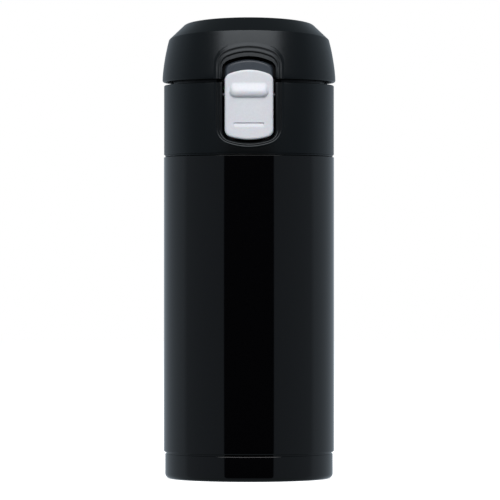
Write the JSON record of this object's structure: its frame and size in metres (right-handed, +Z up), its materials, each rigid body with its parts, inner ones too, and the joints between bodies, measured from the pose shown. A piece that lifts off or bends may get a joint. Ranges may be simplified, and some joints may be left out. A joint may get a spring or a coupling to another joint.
{
  "type": "vacuum flask",
  "caption": "Slim black vacuum flask: welded steel double wall, screw-on cap unit, flip lid on a rear hinge, and a front release lever with a sliding lock.",
  "frame": {"origin": "centre of the base, on the flask's axis, at the height it stands on", "axes": "+Z up along the flask's axis, -Y towards the front with the lever, +X to the right seen from the front"},
  "size_m": [0.0672, 0.0732, 0.1774],
  "materials": {
    "gloss_black_paint": "gloss black baked paint on steel",
    "matt_black_plastic": "satin matt black moulded plastic",
    "dark_plastic": "plain dark moulded plastic",
    "white_plastic": "smooth white moulded plastic",
    "grey_plastic": "satin dark grey moulded plastic",
    "steel": "stainless steel, turned or drawn",
    "foil": "thin bright foil",
    "solder": "dull sealing metal",
    "silicone": "grey silicone rubber"
  },
  "bodies": {
    "bottle": {"outer_shell": "gloss_black_paint", "base_cup": "gloss_black_paint", "vacuum_bottom": "steel", "vacuum_plug": "solder", "inner_liner": "steel", "reflective_foil": "foil", "getter": "solder"},
    "gasket": {"stopper_gasket": "silicone"},
    "cap": {"collar": "matt_black_plastic", "cap_body": "dark_plastic", "stopper": "dark_plastic", "spout": "dark_plastic", "spout_gasket": "silicone", "lever_pin": "steel", "hinge_pin": "steel"},
    "lid": {"lid_shell": "matt_black_plastic", "lid_inner": "dark_plastic", "lid_catch": "dark_plastic", "seal_holder": "dark_plastic", "spout_seal": "silicone", "lid_spring": "steel"},
    "lever": {"release_lever": "grey_plastic", "lever_spring": "steel", "lock_detent": "steel"},
    "slider": {"lock_slider": "white_plastic"}
  },
  "joints": [
    {"name": "cap_rise", "type": "slide", "parent": "bottle", "child": "gasket", "axis": [0, 0, 1], "range_m": [0, 0.0051]},
    {"name": "cap_turn", "type": "hinge", "parent": "gasket", "child": "cap", "pos_m": [0, 0, 0.1435], "axis": [0, 0, 1], "range_deg": [0, 450]},
    {"name": "lid_hinge", "type": "hinge", "parent": "cap", "child": "lid", "pos_m": [0, 0.036, 0.15285], "axis": [-1, 0, 0], "range_deg": [0, 170], "deforming": ["lid_spring"]},
    {"name": "lever_press", "type": "hinge", "parent": "cap", "child": "lever", "pos_m": [0, -0.0287, 0.1474], "axis": [1, 0, 0], "range_deg": [0, 8], "stiffness_Nm_per_rad": 0.15, "springref_deg": -20.05, "deforming": ["lever_spring"]},
    {"name": "lock_slide", "type": "slide", "parent": "lever", "child": "slider", "axis": [0, 0, 1], "range_m": [0, 0.004]}
  ],
  "couplings": [
    {"joint": "cap_rise", "follows": "cap_turn", "m_per_rad": 0.00063662}
  ]
}
